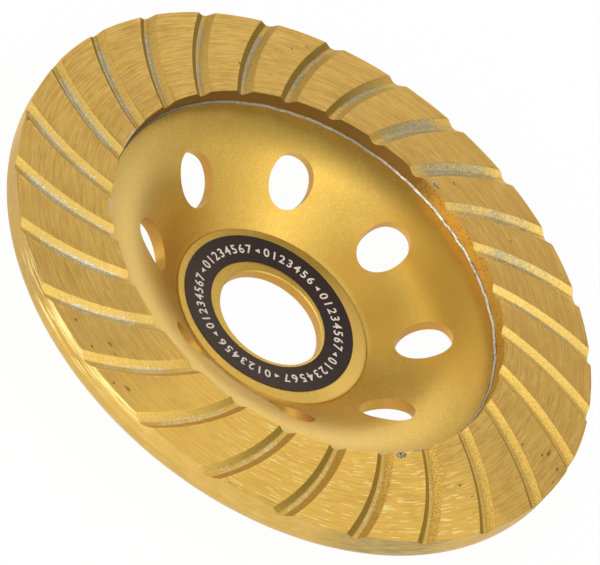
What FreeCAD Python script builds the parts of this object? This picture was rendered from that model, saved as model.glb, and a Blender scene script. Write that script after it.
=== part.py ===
import FreeCAD, Part
import math
import os
import Sketcher
from FreeCAD import Vector

# Diamond cup wheel, 125 mm, in millimetres
# Origin on the bore axis at the back of the hub, +Z towards the grinding face

# Driving dimensions: name, value, meaning
driving = [
    ("outerDiameter", 125.0, "grinding ring and flange, outside"),
    ("wheelHeight", 19.0, "back of the hub to the grinding face"),
    ("boreDiameter", 22.23, "arbor bore"),
    ("boreChamfer", 0.2, "both mouths of the bore"),
    ("hubThickness", 2.32, "steel at the bore"),
    ("hubDishAngle", 4.7, "front of the hub rises outwards by this angle"),
    ("bossDiameter", 41.4, "raised front of the hub"),
    ("bossStep", 0.35, "drop from the rim of the boss to the foot of the wall"),
    ("bossBevel", 0.25, "run of that step"),
    ("hubEdgeRadius", 2.5, "rounding at the back of the hub"),
    ("wallThickness", 2.25, "bowl wall, square to its face"),
    ("shoulderShare", 0.81549, "shoulder radius under the ring, against the way from boss to ring"),
    ("rootRadius", 5.0, "back of the bowl, into the flange"),
    ("flangeThickness", 4.1, "flange behind the ring"),
    ("rimLand", 0.2, "straight land above the rounded rim of the flange"),
    ("ventCount", 8, "vent holes"),
    ("ventPlace", 0.40364, "middle of a vent on the wall, against the way from boss to ring"),
    ("ventShare", 0.51481, "vent up the slope, square to its axis, against the same way"),
    ("ventRoundness", 0.82124, "width of a vent against its length"),
    ("ventTilt", 26.0, "vent axis from the wheel axis"),
    ("ventPhase", 35.71, "azimuth of the first vent"),
    ("ringWidth", 19.85, "grinding ring, from inside to outside"),
    ("ringHeight", 3.45, "grinding ring"),
    ("beadSize", 0.45, "leg of the braze fillet inside the ring"),
    ("grooveCount", 26, "grooves"),
    ("grooveMouth", 3.45, "groove width in the grinding face"),
    ("grooveFloor", 0.9, "groove width at its floor"),
    ("grooveDepth", 1.1, "groove below the grinding face"),
    ("grooveArcRadius", 50.63, "middle line of a groove"),
    ("grooveCentreRadius", 51.68, "centre of that arc from the middle of the pattern"),
    ("grooveCentreAzimuth", -38.67, "azimuth of the first arc centre"),
    ("grooveShiftX", 0.78, "middle of the groove pattern off the wheel axis, towards -X"),
    ("grooveShiftY", 0.43, "the same towards +Y"),
    ("cutterSweep", 140.0, "angle that the groove cutter turns through"),
    ("cutterMiddle", 100.0, "middle of that turn, from the radius of the arc centre"),
    ("cutterRise", 1.0, "cutter above the grinding face"),
    ("labelOuterDiameter", 37.02, "hub label, outside"),
    ("labelInnerDiameter", 25.12, "hub label, inside"),
    ("labelThickness", 0.15, "hub label"),
    ("labelShiftX", 0.53, "label off the bore axis, towards -X"),
    ("labelShiftY", 0.64, "label off the bore axis, towards -Y"),
]
size = {name: value for name, value, meaning in driving}

doc = FreeCAD.newDocument("diamond_cup_wheel")
sheet = doc.addObject("Spreadsheet::Sheet", "Sizes")
for row, (name, value, meaning) in enumerate(driving, start=1):
    sheet.set(f"A{row}", name)
    sheet.set(f"B{row}", str(value))
    sheet.set(f"C{row}", meaning)
    sheet.setAlias(f"B{row}", name)
doc.recompute()

# Places that several sections share, as the sheet gives them
outerRadius = "Sizes.outerDiameter / 2"
boreRadius = "Sizes.boreDiameter / 2"
ringInnerRadius = "Sizes.outerDiameter / 2 - Sizes.ringWidth"
seatInnerRadius = f"{ringInnerRadius} - Sizes.beadSize"
seatHeight = "Sizes.wheelHeight - Sizes.ringHeight"
bowlRun = f"({ringInnerRadius} - Sizes.bossDiameter / 2)"
shoulderRadius = f"Sizes.shoulderShare * {bowlRun}"
ventPitchRadius = f"Sizes.bossDiameter / 2 + Sizes.ventPlace * {bowlRun}"
ventLength = f"Sizes.ventShare * {bowlRun}"
ringInside = size["outerDiameter"] / 2 - size["ringWidth"]


# Sketch helpers
def originItem(body, role):
    return next(item for item in body.Origin.OriginFeatures if item.Role == role)


def newSketch(body, name, plane):
    sketch = body.newObject("Sketcher::SketchObject", name)
    sketch.AttachmentSupport = (originItem(body, plane), [""])
    sketch.MapMode = "FlatFace"
    return sketch


def addLine(sketch, start, end):
    return sketch.addGeometry(Part.LineSegment(Vector(*start), Vector(*end)), False)


def addArc(sketch, centre, radius, fromDegrees, toDegrees):
    circle = Part.Circle(Vector(*centre), Vector(0, 0, 1), radius)
    arc = Part.ArcOfCircle(circle, math.radians(fromDegrees), math.radians(toDegrees))
    return sketch.addGeometry(arc, False)


def addCircle(sketch, centre, radius):
    return sketch.addGeometry(Part.Circle(Vector(*centre), Vector(0, 0, 1), radius), False)


def relate(sketch, kind, *items):
    sketch.addConstraint(Sketcher.Constraint(kind, *items))


def dimension(sketch, label, formula, kind, *items):
    # A named dimension that follows the sheet; items end with its starting value
    index = sketch.addConstraint(Sketcher.Constraint(kind, *items))
    sketch.renameConstraint(index, label)
    sketch.setExpression(f"Constraints.{label}", formula)


def closeLoop(sketch, edges):
    # Lines drawn one after another, joined end to start
    for edge, following in zip(edges, edges[1:] + edges[:1]):
        relate(sketch, "Coincident", edge, 2, following, 1)


def turned(body, name, sketch):
    # The section turned once about the wheel axis
    solid = body.newObject("PartDesign::Revolution", name)
    solid.Profile = sketch
    solid.ReferenceAxis = (sketch, ["V_Axis"])
    solid.Angle = 360
    return solid


def repeated(body, name, feature, axis, count):
    pattern = body.newObject("PartDesign::PolarPattern", name)
    pattern.Originals = [feature]
    pattern.Axis = axis
    pattern.Angle = 360
    pattern.setExpression("Occurrences", count)
    body.Tip = pattern
    return pattern


def newBody(label):
    body = doc.addObject("PartDesign::Body", label + "_body")
    body.Label = label
    return body


# Cup body: hub, bowl and flange turned from one piece of steel
def cupSection(body):
    sketch = newSketch(body, "CupSection", "XZ_Plane")
    bore = size["boreDiameter"] / 2
    chamfer = size["boreChamfer"]
    front = size["hubThickness"]
    mouth = bore + chamfer
    boss = size["bossDiameter"] / 2
    bossTop = front + (boss - mouth) * math.tan(math.radians(size["hubDishAngle"]))
    foot = (boss + size["bossBevel"], bossTop - size["bossStep"])
    seat = size["wheelHeight"] - size["ringHeight"]
    seatInner = ringInside - size["beadSize"]
    outer = size["outerDiameter"] / 2
    run = ringInside - boss
    shoulder = size["shoulderShare"] * run
    wall = size["wallThickness"]
    rimRadius = size["flangeThickness"] - size["rimLand"]
    under = seat - size["flangeThickness"]
    root = size["rootRadius"]
    corner = size["hubEdgeRadius"]

    # Slope of the wall: the line from the foot that touches the shoulder arc
    across = seatInner - foot[0]
    up = seat - shoulder - foot[1]
    slope = math.asin(shoulder / math.hypot(across, up)) + math.atan2(up, across)
    sine, cosine, degrees = math.sin(slope), math.cos(slope), math.degrees(slope)
    wallTop = (seatInner - shoulder * sine, seat - shoulder + shoulder * cosine)
    outerFoot = (foot[0] + wall * sine, foot[1] - wall * cosine)
    rootX = outerFoot[0] + (root + (under - root - outerFoot[1]) * cosine) / sine
    cornerX = outerFoot[0] + (-corner + (corner - outerFoot[1]) * cosine) / sine
    rootEnd = (rootX - root * sine, under - root + root * cosine)
    cornerEnd = (cornerX + corner * sine, corner - corner * cosine)

    boreWall = addLine(sketch, (bore, chamfer), (bore, front - chamfer))
    frontChamfer = addLine(sketch, (bore, front - chamfer), (mouth, front))
    hubFace = addLine(sketch, (mouth, front), (boss, bossTop))
    step = addLine(sketch, (boss, bossTop), foot)
    innerWall = addLine(sketch, foot, wallTop)
    innerArc = addArc(sketch, (seatInner, seat - shoulder), shoulder, 90, 90 + degrees)
    seatFace = addLine(sketch, (seatInner, seat), (outer, seat))
    land = addLine(sketch, (outer, seat), (outer, under + rimRadius))
    rim = addArc(sketch, (outer - rimRadius, under + rimRadius), rimRadius, -90, 0)
    underside = addLine(sketch, (outer - rimRadius, under), (rootX, under))
    rootArc = addArc(sketch, (rootX, under - root), root, 90, 90 + degrees)
    outerWall = addLine(sketch, rootEnd, cornerEnd)
    cornerArc = addArc(sketch, (cornerX, corner), corner, -90, degrees - 90)
    backFace = addLine(sketch, (cornerX, 0), (mouth, 0))
    backChamfer = addLine(sketch, (mouth, 0), (bore, chamfer))

    for edge, following in (
        (boreWall, frontChamfer),
        (frontChamfer, hubFace),
        (hubFace, step),
        (step, innerWall),
        (seatFace, land),
        (backFace, backChamfer),
        (backChamfer, boreWall),
    ):
        relate(sketch, "Coincident", edge, 2, following, 1)
    for edge, end, following, start in (
        (innerWall, 2, innerArc, 2),
        (innerArc, 1, seatFace, 1),
        (land, 2, rim, 2),
        (rim, 1, underside, 1),
        (underside, 2, rootArc, 1),
        (rootArc, 2, outerWall, 1),
        (outerWall, 2, cornerArc, 2),
        (cornerArc, 1, backFace, 1),
    ):
        relate(sketch, "Tangent", edge, end, following, start)
    relate(sketch, "Vertical", boreWall)
    relate(sketch, "Vertical", land)
    relate(sketch, "Horizontal", seatFace)
    relate(sketch, "Horizontal", underside)
    relate(sketch, "Horizontal", backFace)
    relate(sketch, "PointOnObject", backFace, 2, -1)
    relate(sketch, "Parallel", innerWall, outerWall)

    for label, formula, kind, *items in (
        ("boreRadius", boreRadius, "DistanceX", -1, 1, boreWall, 1, bore),
        ("backChamferUp", "Sizes.boreChamfer", "DistanceY", -1, 1, boreWall, 1, chamfer),
        ("backChamferOut", "Sizes.boreChamfer", "DistanceX", backChamfer, 2, backChamfer, 1, chamfer),
        ("frontChamferUp", "Sizes.boreChamfer", "DistanceY", frontChamfer, 1, frontChamfer, 2, chamfer),
        ("frontChamferOut", "Sizes.boreChamfer", "DistanceX", frontChamfer, 1, frontChamfer, 2, chamfer),
        ("hubThickness", "Sizes.hubThickness", "DistanceY", -1, 1, hubFace, 1, front),
        ("hubDish", "Sizes.hubDishAngle", "Angle", hubFace, math.radians(size["hubDishAngle"])),
        ("bossRadius", "Sizes.bossDiameter / 2", "DistanceX", -1, 1, hubFace, 2, boss),
        ("bossBevel", "Sizes.bossBevel", "DistanceX", step, 1, step, 2, size["bossBevel"]),
        ("bossStep", "Sizes.bossStep", "DistanceY", step, 2, step, 1, size["bossStep"]),
        ("shoulder", shoulderRadius, "Radius", innerArc, shoulder),
        ("seatInner", seatInnerRadius, "DistanceX", -1, 1, seatFace, 1, seatInner),
        ("seatHeight", seatHeight, "DistanceY", -1, 1, seatFace, 1, seat),
        ("outerRadius", outerRadius, "DistanceX", -1, 1, seatFace, 2, outer),
        ("rimLand", "Sizes.rimLand", "DistanceY", land, 2, land, 1, size["rimLand"]),
        ("flange", "Sizes.flangeThickness", "DistanceY", underside, 1, seatFace, 2, seat - under),
        ("root", "Sizes.rootRadius", "Radius", rootArc, root),
        ("wall", "Sizes.wallThickness", "Distance", outerWall, 1, innerWall, wall),
        ("hubEdge", "Sizes.hubEdgeRadius", "Radius", cornerArc, corner),
    ):
        dimension(sketch, label, formula, kind, *items)

    # Middle of a vent on the inside of the wall, measured for the vent's own plane
    pitch = boss + size["ventPlace"] * run
    onWall = (pitch, foot[1] + (pitch - foot[0]) * math.tan(slope))
    ventPoint = sketch.addGeometry(Part.Point(Vector(*onWall)), True)
    relate(sketch, "PointOnObject", ventPoint, 1, innerWall)
    dimension(sketch, "ventPitch", ventPitchRadius, "DistanceX", -1, 1, ventPoint, 1, pitch)
    height = sketch.addConstraint(Sketcher.Constraint("DistanceY", -1, 1, ventPoint, 1, onWall[1]))
    sketch.renameConstraint(height, "ventHeight")
    sketch.setDriving(height, False)
    return sketch


def ventSection(body):
    # Square to the vent's axis, at the middle of the vent on the inside of the wall
    sketch = newSketch(body, "VentSection", "XY_Plane")
    sketch.setExpression("AttachmentOffset.Base.x", "CupSection.Constraints.ventPitch")
    sketch.setExpression("AttachmentOffset.Base.z", "CupSection.Constraints.ventHeight")
    sketch.setExpression("AttachmentOffset.Rotation.Axis.x", "0")
    sketch.setExpression("AttachmentOffset.Rotation.Axis.y", "1")
    sketch.setExpression("AttachmentOffset.Rotation.Axis.z", "0")
    sketch.setExpression("AttachmentOffset.Rotation.Angle", "-Sizes.ventTilt")
    length = size["ventShare"] * (ringInside - size["bossDiameter"] / 2)
    width = size["ventRoundness"] * length
    oval = sketch.addGeometry(Part.Ellipse(Vector(0, 0, 0), length / 2, width / 2), False)
    relate(sketch, "Coincident", oval, 3, -1, 1)
    sketch.exposeInternalGeometry(oval)
    longAxis, shortAxis = oval + 1, oval + 2
    relate(sketch, "Horizontal", longAxis)
    dimension(sketch, "ventLength", ventLength, "Distance", longAxis, length)
    dimension(sketch, "ventWidth", f"Sizes.ventRoundness * {ventLength}", "Distance", shortAxis, width)
    return sketch


def cupBody():
    body = newBody("cup_body")
    body.Placement.Rotation.Axis = Vector(0, 0, 1)
    body.setExpression("Placement.Rotation.Angle", "Sizes.ventPhase")
    turned(body, "CupTurned", cupSection(body))
    doc.recompute()
    vent = body.newObject("PartDesign::Pocket", "Vent")
    vent.Profile = ventSection(body)
    vent.Type = "ThroughAll"
    vent.SideType = "Symmetric"
    repeated(body, "Vents", vent, (originItem(body, "Z_Axis"), [""]), "Sizes.ventCount")
    return body


# Grinding ring: one sintered ring with curved grooves across its face
def grooveSection(body):
    # Upright section through the groove, with the centre of the groove's arc at its origin
    sketch = newSketch(body, "GrooveSection", "XZ_Plane")
    centre = "Sizes.grooveCentreRadius"
    azimuth = "Sizes.grooveCentreAzimuth * 1 deg"
    sketch.setExpression("AttachmentOffset.Base.x", f"{centre} * cos({azimuth}) - Sizes.grooveShiftX")
    sketch.setExpression("AttachmentOffset.Base.z", f"-{centre} * sin({azimuth}) - Sizes.grooveShiftY")
    sketch.setExpression("AttachmentOffset.Rotation.Axis.x", "0")
    sketch.setExpression("AttachmentOffset.Rotation.Axis.y", "1")
    sketch.setExpression("AttachmentOffset.Rotation.Axis.z", "0")
    sketch.setExpression(
        "AttachmentOffset.Rotation.Angle", "Sizes.grooveCentreAzimuth + Sizes.cutterMiddle"
    )
    middle = size["grooveArcRadius"]
    top = size["wheelHeight"]
    floor = top - size["grooveDepth"]
    crest = top + size["cutterRise"]
    mouth, bottom = size["grooveMouth"] / 2, size["grooveFloor"] / 2
    corners = [
        (middle - bottom, floor),
        (middle + bottom, floor),
        (middle + mouth, top),
        (middle + mouth, crest),
        (middle - mouth, crest),
        (middle - mouth, top),
    ]
    edges = [addLine(sketch, a, b) for a, b in zip(corners, corners[1:] + corners[:1])]
    closeLoop(sketch, edges)
    floorEdge, outerSide, crestEdge, innerSide = edges[0], edges[2], edges[3], edges[4]
    relate(sketch, "Horizontal", floorEdge)
    relate(sketch, "Vertical", outerSide)
    relate(sketch, "Horizontal", crestEdge)
    relate(sketch, "Vertical", innerSide)
    for label, formula, kind, *items in (
        ("floorHeight", "Sizes.wheelHeight - Sizes.grooveDepth", "DistanceY", -1, 1, floorEdge, 1, floor),
        ("crestHeight", "Sizes.wheelHeight + Sizes.cutterRise", "DistanceY", -1, 1, crestEdge, 1, crest),
        ("outerBreak", "Sizes.wheelHeight", "DistanceY", -1, 1, outerSide, 1, top),
        ("innerBreak", "Sizes.wheelHeight", "DistanceY", -1, 1, innerSide, 2, top),
        (
            "floorInside",
            "Sizes.grooveArcRadius - Sizes.grooveFloor / 2",
            "DistanceX", -1, 1, floorEdge, 1, middle - bottom,
        ),
        ("floorWidth", "Sizes.grooveFloor", "DistanceX", floorEdge, 1, floorEdge, 2, 2 * bottom),
        (
            "mouthInside",
            "Sizes.grooveArcRadius - Sizes.grooveMouth / 2",
            "DistanceX", -1, 1, innerSide, 1, middle - mouth,
        ),
        ("mouthWidth", "Sizes.grooveMouth", "DistanceX", crestEdge, 2, crestEdge, 1, 2 * mouth),
    ):
        dimension(sketch, label, formula, kind, *items)
    return sketch


def patternCentre(body):
    # An empty sketch at the middle of the groove pattern; its normal is the pattern's axis
    sketch = newSketch(body, "PatternCentre", "XY_Plane")
    sketch.setExpression("AttachmentOffset.Base.x", "-Sizes.grooveShiftX")
    sketch.setExpression("AttachmentOffset.Base.y", "Sizes.grooveShiftY")
    return sketch


def abrasiveRing():
    body = newBody("abrasive_ring")
    blankSketch = newSketch(body, "RingSketch", "XY_Plane")
    blankSketch.setExpression("AttachmentOffset.Base.z", seatHeight)
    for label, formula, radius in (
        ("ringOutside", outerRadius, size["outerDiameter"] / 2),
        ("ringInside", ringInnerRadius, ringInside),
    ):
        circle = addCircle(blankSketch, (0, 0), radius)
        relate(blankSketch, "Coincident", circle, 3, -1, 1)
        dimension(blankSketch, label, formula, "Radius", circle, radius)
    blank = body.newObject("PartDesign::Pad", "RingBlank")
    blank.Profile = blankSketch
    blank.setExpression("Length", "Sizes.ringHeight")
    doc.recompute()
    groove = body.newObject("PartDesign::Groove", "Groove")
    groove.Profile = grooveSection(body)
    groove.ReferenceAxis = (groove.Profile[0], ["V_Axis"])
    groove.Midplane = True
    groove.setExpression("Angle", "Sizes.cutterSweep")
    axis = (patternCentre(body), ["N_Axis"])
    repeated(body, "Grooves", groove, axis, "Sizes.grooveCount")
    return body


# Braze fillet in the corner between the seat and the inside of the ring
def brazeBead():
    body = newBody("braze_bead")
    sketch = newSketch(body, "BeadSection", "XZ_Plane")
    outer = ringInside
    leg = size["beadSize"]
    seat = size["wheelHeight"] - size["ringHeight"]
    corners = [(outer - leg, seat), (outer, seat), (outer, seat + leg)]
    edges = [addLine(sketch, a, b) for a, b in zip(corners, corners[1:] + corners[:1])]
    closeLoop(sketch, edges)
    foot, side = edges[:2]
    relate(sketch, "Horizontal", foot)
    relate(sketch, "Vertical", side)
    for label, formula, kind, *items in (
        ("outside", ringInnerRadius, "DistanceX", -1, 1, foot, 2, outer),
        ("seat", seatHeight, "DistanceY", -1, 1, foot, 2, seat),
        ("foot", "Sizes.beadSize", "DistanceX", foot, 1, foot, 2, leg),
        ("rise", "Sizes.beadSize", "DistanceY", side, 1, side, 2, leg),
    ):
        dimension(sketch, label, formula, kind, *items)
    turned(body, "Bead", sketch)
    return body


# Hub label: a thin ring stuck on the dished front of the hub, a little off centre
def hubLabel():
    body = newBody("hub_label")
    sketch = newSketch(body, "LabelSection", "XZ_Plane")
    mouth = size["boreDiameter"] / 2 + size["boreChamfer"]
    boss = size["bossDiameter"] / 2
    front = size["hubThickness"]
    thickness = size["labelThickness"]
    rise = (boss - mouth) * math.tan(math.radians(size["hubDishAngle"]))
    corners = [
        (mouth, front),
        (boss, front + rise),
        (boss, front + rise + thickness),
        (mouth, front + thickness),
    ]
    edges = [addLine(sketch, a, b) for a, b in zip(corners, corners[1:] + corners[:1])]
    closeLoop(sketch, edges)
    under, outside, upper, inside = edges
    relate(sketch, "Vertical", outside)
    relate(sketch, "Vertical", inside)
    relate(sketch, "Parallel", under, upper)
    for label, formula, kind, *items in (
        ("inside", "Sizes.boreDiameter / 2 + Sizes.boreChamfer", "DistanceX", -1, 1, under, 1, mouth),
        ("outside", "Sizes.bossDiameter / 2", "DistanceX", -1, 1, under, 2, boss),
        ("front", "Sizes.hubThickness", "DistanceY", -1, 1, under, 1, front),
        ("dish", "Sizes.hubDishAngle", "Angle", under, math.radians(size["hubDishAngle"])),
        ("thickness", "Sizes.labelThickness", "DistanceY", inside, 2, inside, 1, thickness),
    ):
        dimension(sketch, label, formula, kind, *items)
    turned(body, "LabelBlank", sketch)
    doc.recompute()

    # Trimmed to its two round edges: the area outside the label and the disc inside it
    trimSketch = newSketch(body, "TrimSketch", "XY_Plane")
    trimSketch.setExpression("AttachmentOffset.Base.x", "-Sizes.labelShiftX")
    trimSketch.setExpression("AttachmentOffset.Base.y", "-Sizes.labelShiftY")
    for label, formula, radius in (
        ("beyond", "Sizes.bossDiameter", size["bossDiameter"]),
        ("outerEdge", "Sizes.labelOuterDiameter / 2", size["labelOuterDiameter"] / 2),
        ("innerEdge", "Sizes.labelInnerDiameter / 2", size["labelInnerDiameter"] / 2),
    ):
        circle = addCircle(trimSketch, (0, 0), radius)
        relate(trimSketch, "Coincident", circle, 3, -1, 1)
        dimension(trimSketch, label, formula, "Radius", circle, radius)
    trim = body.newObject("PartDesign::Pocket", "Trim")
    trim.Profile = trimSketch
    trim.Type = "ThroughAll"
    trim.SideType = "Symmetric"
    body.Tip = trim
    return body


subParts = [cupBody(), abrasiveRing(), brazeBead(), hubLabel()]
doc.recompute()

# Nothing is written unless every feature worked and every cut took something away
for item in doc.Objects:
    if "Invalid" in item.State or "Error" in item.State:
        raise RuntimeError(f"{item.Label} failed: {item.State}")
for cut in ("Vents", "Grooves", "Trim"):
    feature = doc.getObject(cut)
    blank = feature.BaseFeature if cut != "Vents" else doc.getObject("CupTurned")
    if feature.Shape.Volume >= blank.Shape.Volume:
        raise RuntimeError(f"{cut} cut nothing")
for body in subParts:
    shape = body.Shape
    if shape.isNull() or not shape.isValid() or len(shape.Solids) != 1:
        raise RuntimeError(f"{body.Label} is not one sound solid")

os.makedirs("parts", exist_ok=True)
for body in subParts:
    body.Shape.exportStep(os.path.join("parts", body.Label + ".step"))
    print(body.Label, "volume", round(body.Shape.Volume, 1), "faces", len(body.Shape.Faces))
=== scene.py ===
import bpy
import math
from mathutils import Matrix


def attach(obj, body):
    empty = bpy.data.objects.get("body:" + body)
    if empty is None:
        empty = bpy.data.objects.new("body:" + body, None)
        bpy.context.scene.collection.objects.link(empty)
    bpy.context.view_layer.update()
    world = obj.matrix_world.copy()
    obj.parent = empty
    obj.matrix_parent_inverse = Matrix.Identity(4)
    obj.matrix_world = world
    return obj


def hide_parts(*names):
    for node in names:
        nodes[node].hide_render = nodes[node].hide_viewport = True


# Diamond cup wheel seen from above its grinding face
# Sizes in the dictionaries are millimetres and degrees, and the scene is in metres

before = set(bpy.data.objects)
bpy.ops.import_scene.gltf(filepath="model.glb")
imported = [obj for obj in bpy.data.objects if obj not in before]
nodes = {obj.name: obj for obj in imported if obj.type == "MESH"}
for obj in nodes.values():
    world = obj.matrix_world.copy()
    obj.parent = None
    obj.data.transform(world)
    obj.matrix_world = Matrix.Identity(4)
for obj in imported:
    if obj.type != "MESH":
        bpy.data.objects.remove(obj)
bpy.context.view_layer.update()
mm = 0.001
print("frame loaded:", ", ".join(sorted(nodes)))


# Mesh helpers
def deselectAll():
    if bpy.context.mode != "OBJECT":
        bpy.ops.object.mode_set(mode="OBJECT")
    bpy.ops.object.select_all(action="DESELECT")


def makeActive(piece):
    deselectAll()
    piece.select_set(True)
    bpy.context.view_layer.objects.active = piece


def sectionLoop(name, points):
    # A closed section in the XZ plane: a circle primitive whose corners go to the points
    deselectAll()
    bpy.ops.mesh.primitive_circle_add(vertices=len(points), radius=mm, fill_type="NOTHING")
    piece = bpy.context.object
    piece.name = name
    for vertex, (x, z) in zip(piece.data.vertices, points):
        vertex.co = (x * mm, 0, z * mm)
    return piece


def faceOutwards(gap):
    # In edit mode: merges corners that lie closer than the gap and turns every face outwards
    bpy.ops.mesh.select_all(action="SELECT")
    bpy.ops.mesh.remove_doubles(threshold=gap * mm)
    bpy.ops.mesh.normals_make_consistent(inside=False)


def turnSection(piece, steps, angle=360.0, start=0.0, centre=(0.0, 0.0)):
    # Spins the section about an upright axis, whole or in part, and closes it
    makeActive(piece)
    bpy.ops.object.mode_set(mode="EDIT")
    bpy.ops.mesh.select_all(action="SELECT")
    if angle < 360:
        bpy.ops.mesh.edge_face_add()
    bpy.ops.mesh.spin(steps=steps, angle=-math.radians(angle), center=(0, 0, 0), axis=(0, 0, 1))
    faceOutwards(0.001)
    bpy.ops.object.mode_set(mode="OBJECT")
    piece.rotation_euler[2] = math.radians(start)
    piece.location = (centre[0] * mm, centre[1] * mm, 0)
    bpy.ops.object.transform_apply(location=True, rotation=True, scale=True)
    return piece


def joinAll(pieces):
    deselectAll()
    for piece in pieces:
        piece.select_set(True)
    bpy.context.view_layer.objects.active = pieces[0]
    bpy.ops.object.join()
    return bpy.context.object


def applyModifiers(piece):
    makeActive(piece)
    for modifier in list(piece.modifiers):
        bpy.ops.object.modifier_apply(modifier=modifier.name)


def cutWith(piece, cutter):
    boolean = piece.modifiers.new("cut", "BOOLEAN")
    boolean.operation = "DIFFERENCE"
    boolean.solver = "EXACT"
    boolean.object = cutter
    applyModifiers(piece)
    bpy.data.objects.remove(cutter)


def cleanCut(piece, gap):
    # Takes slivers out of a cut mesh and gives its large flat faces even triangles
    makeActive(piece)
    bpy.ops.object.mode_set(mode="EDIT")
    bpy.ops.mesh.select_all(action="SELECT")
    bpy.ops.mesh.remove_doubles(threshold=gap * mm)
    bpy.ops.mesh.dissolve_degenerate(threshold=gap * mm)
    bpy.ops.mesh.quads_convert_to_tris(quad_method="BEAUTY", ngon_method="BEAUTY")
    bpy.ops.object.mode_set(mode="OBJECT")


# Material helpers
def colour(red, green, blue):
    # A colour as a screen shows it, 0 to 255, turned into the linear values of a shader
    def linear(part):
        part = part / 255
        return part / 12.92 if part <= 0.04045 else ((part + 0.055) / 1.055) ** 2.4
    return (linear(red), linear(green), linear(blue), 1.0)


def addNode(tree, kind, inputs=(), **settings):
    node = tree.nodes.new(kind)
    for name, value in settings.items():
        setattr(node, name, value)
    for key, value in inputs:
        if isinstance(value, bpy.types.NodeSocket):
            tree.links.new(value, node.inputs[key])
        else:
            node.inputs[key].default_value = value
    return node


def startMaterial(name):
    material = bpy.data.materials.new(name)
    material.use_nodes = True
    tree = material.node_tree
    tree.nodes.clear()
    shader = addNode(tree, "ShaderNodeBsdfPrincipled")
    addNode(tree, "ShaderNodeOutputMaterial", [("Surface", shader.outputs[0])])
    return material, tree, shader


def calc(tree, operation, first, second=0.0, third=0.0, clamp=False):
    inputs = [(0, first), (1, second), (2, third)]
    return addNode(tree, "ShaderNodeMath", inputs, operation=operation, use_clamp=clamp).outputs[0]


def vectorCalc(tree, operation, first, second=(0, 0, 0), scale=None):
    inputs = [(0, first), (1, second)]
    if scale is not None:
        inputs.append(("Scale", scale))
    node = addNode(tree, "ShaderNodeVectorMath", inputs, operation=operation)
    return node.outputs["Value"] if operation in ("LENGTH", "DOT_PRODUCT") else node.outputs["Vector"]


def noise(tree, vector, scale, detail=2.0, roughness=0.5):
    inputs = [("Vector", vector), ("Scale", scale), ("Detail", detail), ("Roughness", roughness)]
    return addNode(tree, "ShaderNodeTexNoise", inputs).outputs["Fac"]


def between(tree, value, low, high, fromValue=0.0, toValue=1.0):
    # Rises smoothly from one value to the other while the input goes from low to high
    inputs = [("Value", value), ("From Min", low), ("From Max", high)]
    inputs += [("To Min", fromValue), ("To Max", toValue)]
    node = addNode(tree, "ShaderNodeMapRange", inputs, interpolation_type="SMOOTHSTEP")
    return node.outputs["Result"]


def reach(tree, value, span, fromValue=0.0, toValue=1.0):
    # The same for a radius or height, with its span in millimetres
    return between(tree, value, span[0] * mm, span[1] * mm, fromValue, toValue)


def blend(tree, factor, first, second, mode="MIX"):
    inputs = [(0, factor), (6, first), (7, second)]
    node = addNode(tree, "ShaderNodeMix", inputs, data_type="RGBA", blend_type=mode)
    return node.outputs[2]


def wheelCoordinates(tree):
    # Place on the wheel: object coordinates, radius, unit direction from the axis, height
    place = addNode(tree, "ShaderNodeTexCoord").outputs["Object"]
    parts = addNode(tree, "ShaderNodeSeparateXYZ", [(0, place)])
    level = [(0, parts.outputs[0]), (1, parts.outputs[1])]
    flat = addNode(tree, "ShaderNodeCombineXYZ", level).outputs[0]
    radius = vectorCalc(tree, "LENGTH", flat)
    direction = vectorCalc(tree, "NORMALIZE", flat)
    return place, radius, direction, parts.outputs[2]


def streakVector(tree, direction, across, alongScale, acrossScale):
    # Coordinates for marks that run round the wheel: long along the turn, short across it
    around = vectorCalc(tree, "SCALE", direction, scale=alongScale)
    lift = calc(tree, "MULTIPLY", across, acrossScale)
    return vectorCalc(tree, "ADD", around, addNode(tree, "ShaderNodeCombineXYZ", [(2, lift)]).outputs[0])


def lineMarks(tree, direction, across, alongScale, rows):
    # Straight dashes round the wheel: every row across has its own run of light and dark
    row = calc(tree, "FLOOR", calc(tree, "MULTIPLY", across, rows))
    around = vectorCalc(tree, "SCALE", direction, scale=alongScale)
    rowGap = 3.37  # far enough in the noise for each row to differ from its neighbours
    lift = addNode(tree, "ShaderNodeCombineXYZ", [(2, calc(tree, "MULTIPLY", row, rowGap))]).outputs[0]
    return noise(tree, vectorCalc(tree, "ADD", around, lift), 1.0, 1.0)


def towards(tree, direction, zone):
    # Rises round the wheel towards the zone's azimuth, between two cosines of the angle from it
    azimuth, low, high = zone
    aim = (math.cos(math.radians(azimuth)), math.sin(math.radians(azimuth)), 0)
    return between(tree, vectorCalc(tree, "DOT_PRODUCT", direction, aim), low, high)


def zoneMasks(tree, direction, zones):
    return {name: towards(tree, direction, zone) for name, zone in zones.items()}


def facing(tree, aim, low, high):
    # Rises on surfaces that face a direction, which is fixed to the wheel
    normal = addNode(tree, "ShaderNodeNewGeometry").outputs["True Normal"]
    return between(tree, vectorCalc(tree, "DOT_PRODUCT", normal, aim), low, high)


def times(tree, *factors):
    product = factors[0]
    for factor in factors[1:]:
        product = calc(tree, "MULTIPLY", product, factor)
    return product


def bump(tree, height, strength, distance):
    inputs = [("Strength", strength), ("Distance", distance * mm), ("Height", height)]
    return addNode(tree, "ShaderNodeBump", inputs).outputs["Normal"]


def dress(piece, material):
    piece.data.materials.clear()
    piece.data.materials.append(material)


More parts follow.
